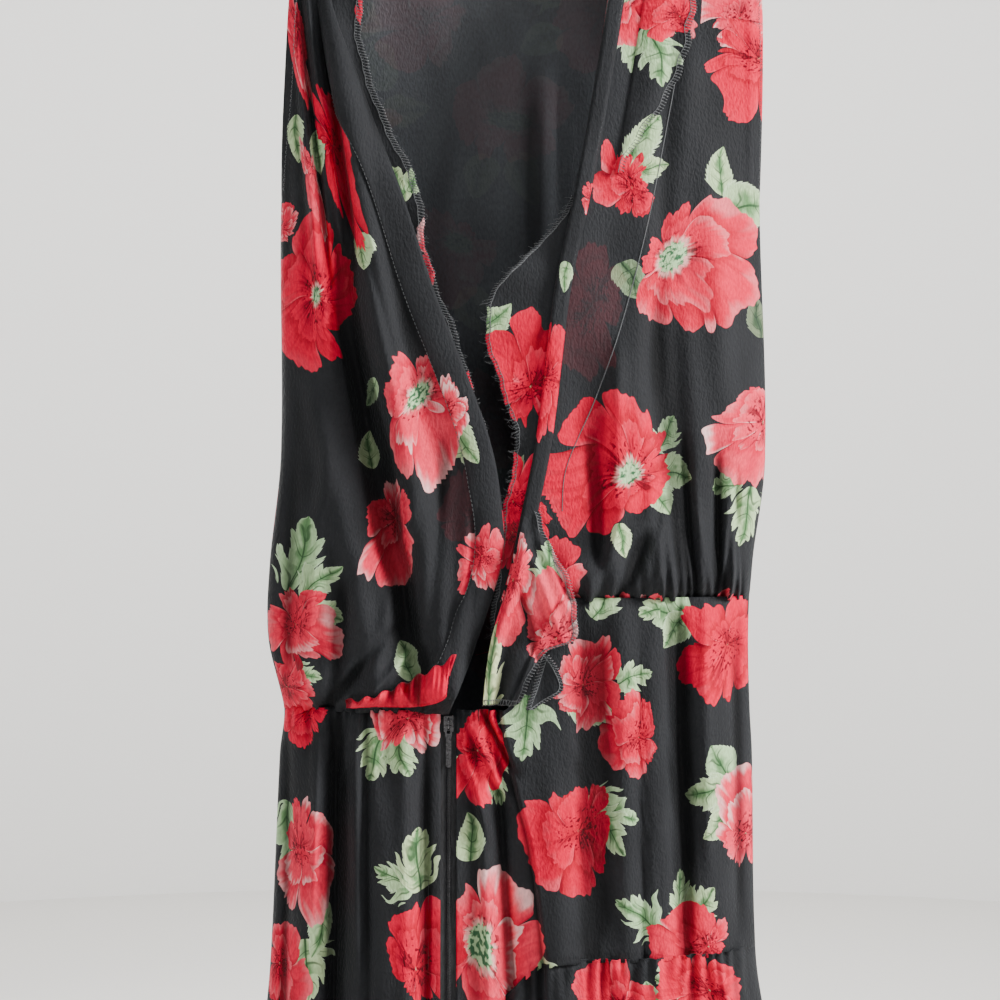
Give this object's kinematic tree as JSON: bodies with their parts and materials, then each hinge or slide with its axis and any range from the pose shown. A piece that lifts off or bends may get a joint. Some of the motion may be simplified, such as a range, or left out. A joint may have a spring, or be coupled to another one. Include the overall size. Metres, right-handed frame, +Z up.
{
  "type": "maxi dress on a clothes hanger",
  "caption": "Sleeveless floral chiffon maxi dress with a deep open V, gathered waist, zip and gathered lower tier, hanging on a plain hanger.",
  "frame": {"origin": "seat inside the top of the hanger's hook, where a rail carries the hanger", "axes": "+Z up along the hanging dress, -Y out of the face with the deep V and the zip, +X to the right of that face"},
  "size_m": [0.4578, 0.1924, 1.5788],
  "materials": {
    "floral_chiffon": "matt sheer crinkle chiffon, black with red and pink poppies and pale green leaves",
    "zip_tape": "matt black woven tape",
    "black_zip_metal": "glossy black enamel",
    "pale_wood": "satin lacquered beech",
    "bright_steel": "bright plated steel wire"
  },
  "bodies": {
    "dress": {"bodice_near_left": "floral_chiffon", "bodice_near_right": "floral_chiffon", "bodice_far": "floral_chiffon", "v_hem_left": "floral_chiffon", "v_hem_right": "floral_chiffon", "facing_left": "floral_chiffon", "facing_right": "floral_chiffon", "facing_turnback": "floral_chiffon", "waist_flap": "floral_chiffon", "waist_ruffle": "floral_chiffon", "skirt_near_left": "floral_chiffon", "skirt_near_right": "floral_chiffon", "skirt_far": "floral_chiffon", "tier_near": "floral_chiffon", "tier_far": "floral_chiffon", "zip_tape_left": "zip_tape", "zip_tape_right": "zip_tape", "zip_slider": "black_zip_metal", "zip_bail": "black_zip_metal", "hanger_arms": "pale_wood", "hanger_socket": "bright_steel", "hanger_hook": "bright_steel"},
    "zip_pull": {"zip_pull": "black_zip_metal"}
  },
  "joints": [
    {"name": "zip_pull_swing", "type": "hinge", "parent": "dress", "child": "zip_pull", "pos_m": [-0.0413, -0.04176, -0.5888], "axis": [-1, 0, 0], "range_deg": [0, 135]}
  ]
}
